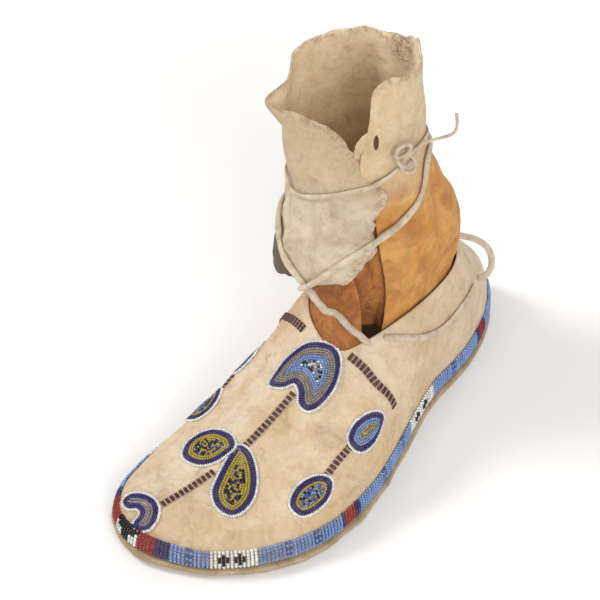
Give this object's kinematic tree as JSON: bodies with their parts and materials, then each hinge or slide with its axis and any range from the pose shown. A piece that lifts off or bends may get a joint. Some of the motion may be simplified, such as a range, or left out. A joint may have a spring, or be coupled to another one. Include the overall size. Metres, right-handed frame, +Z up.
{
  "type": "beaded moccasin boot",
  "caption": "Left high-top moccasin boot of soft hide on a thin rawhide sole, with a tied ankle wrap, a tongue and bead embroidery.",
  "frame": {"origin": "on the underside of the sole, under the middle of the foot, where the boot rests", "axes": "toe towards -Y, heel towards +Y, outer side of the foot towards +X, up is +Z"},
  "size_m": [0.1111, 0.2547, 0.1999],
  "materials": {
    "sole_rawhide": "stiff rawhide, matt and rubbed",
    "foot_hide": "soft smoked hide, napped, cream to tan",
    "wrap_hide": "soft hide, grey-beige at the collar and smoked orange at the heel",
    "tongue_hide": "brown wrinkled hide",
    "thong_hide": "grey-beige hide thong",
    "band_beads": "small opaque glass beads, glossy",
    "motif_beads": "small opaque glass beads, glossy",
    "stem_beads": "small opaque glass beads, dark red"
  },
  "bodies": {
    "root": {"outsole": "sole_rawhide", "upper": "foot_hide", "ankle_wrap": "wrap_hide", "tongue": "tongue_hide", "bead_band": "band_beads", "heart_motif": "motif_beads", "leaf_motif_medial": "motif_beads", "leaf_motif_lateral": "motif_beads", "toe_motif": "motif_beads", "oval_lateral_upper": "motif_beads", "oval_lateral_lower": "motif_beads", "oval_medial_upper": "motif_beads", "oval_medial_lower": "motif_beads", "stem_upper": "stem_beads", "stem_lower": "stem_beads", "oval_stem_lateral": "stem_beads", "oval_stem_medial": "stem_beads", "throat_strip_lateral": "stem_beads", "throat_strip_medial": "stem_beads", "ankle_tie": "thong_hide", "cross_thong": "thong_hide", "drawstring_lateral": "thong_hide", "drawstring_medial": "thong_hide", "tie_end": "thong_hide", "heel_loop": "thong_hide", "tie_knot": "thong_hide"}
  },
  "joints": []
}
